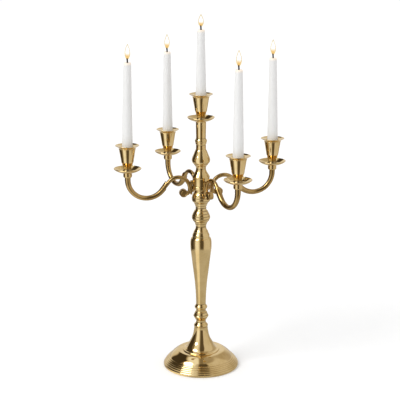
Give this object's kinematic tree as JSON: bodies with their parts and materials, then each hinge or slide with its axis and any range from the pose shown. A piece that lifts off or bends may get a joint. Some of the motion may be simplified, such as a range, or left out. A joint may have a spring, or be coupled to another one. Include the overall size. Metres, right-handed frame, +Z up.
{
  "type": "tabletop candelabra",
  "caption": "Turned brass candelabra on a round stepped base, with S-shaped arms, drip pans, flared candle cups and white taper candles that lift out.",
  "frame": {"origin": "centre of the footprint, on the table", "axes": "+Z up along the stem, -Y the front, +X to the right seen from the front"},
  "size_m": [0.3556, 0.3286, 0.7282],
  "materials": {
    "brass_polished": "polished, fine turning lines",
    "brass_satin": "hand-filed cast brass, half polished",
    "steel": "zinc plated",
    "felt": "wool felt",
    "wax": "satin paraffin wax",
    "wick_cotton": "braided cotton, charred"
  },
  "bodies": {
    "stand": {"arm_1": "brass_satin", "arm_2": "brass_satin", "arm_3": "brass_satin", "arm_4": "brass_satin", "arm_hub": "brass_polished", "arm_nuts": "steel", "arm_studs": "steel", "base": "brass_polished", "base_nut": "steel", "base_washer": "steel", "candle_cup_1": "brass_polished", "candle_cup_2": "brass_polished", "candle_cup_3": "brass_polished", "candle_cup_4": "brass_polished", "candle_cup_centre": "brass_polished", "candle_tube": "brass_polished", "column": "brass_polished", "cup_studs": "steel", "drip_pan_1": "brass_polished", "drip_pan_2": "brass_polished", "drip_pan_3": "brass_polished", "drip_pan_4": "brass_polished", "drip_pan_centre": "brass_polished", "felt_pad": "felt", "ferrule_1": "brass_satin", "ferrule_2": "brass_satin", "ferrule_3": "brass_satin", "ferrule_4": "brass_satin", "foot_ring": "brass_polished", "hub_collar": "brass_polished", "lower_bead": "brass_polished", "lower_knop": "brass_polished", "lower_vase": "brass_polished", "middle_knop": "brass_polished", "tie_rod": "steel", "top_bead": "brass_polished", "top_vase": "brass_polished"},
    "lit_candle_1": {"candle_1": "wax", "wick_1": "wick_cotton"},
    "lit_candle_2": {"candle_2": "wax", "wick_2": "wick_cotton"},
    "lit_candle_3": {"candle_3": "wax", "wick_3": "wick_cotton"},
    "lit_candle_4": {"candle_4": "wax", "wick_4": "wick_cotton"},
    "lit_candle_centre": {"candle_centre": "wax", "wick_centre": "wick_cotton"}
  },
  "joints": [
    {"name": "candle_lift_1", "type": "slide", "parent": "stand", "child": "lit_candle_1", "axis": [0, 0, 1], "range_m": [0, 0.045]},
    {"name": "candle_lift_2", "type": "slide", "parent": "stand", "child": "lit_candle_2", "axis": [0, 0, 1], "range_m": [0, 0.045]},
    {"name": "candle_lift_3", "type": "slide", "parent": "stand", "child": "lit_candle_3", "axis": [0, 0, 1], "range_m": [0, 0.045]},
    {"name": "candle_lift_4", "type": "slide", "parent": "stand", "child": "lit_candle_4", "axis": [0, 0, 1], "range_m": [0, 0.045]},
    {"name": "candle_lift_centre", "type": "slide", "parent": "stand", "child": "lit_candle_centre", "axis": [0, 0, 1], "range_m": [0, 0.045]}
  ]
}
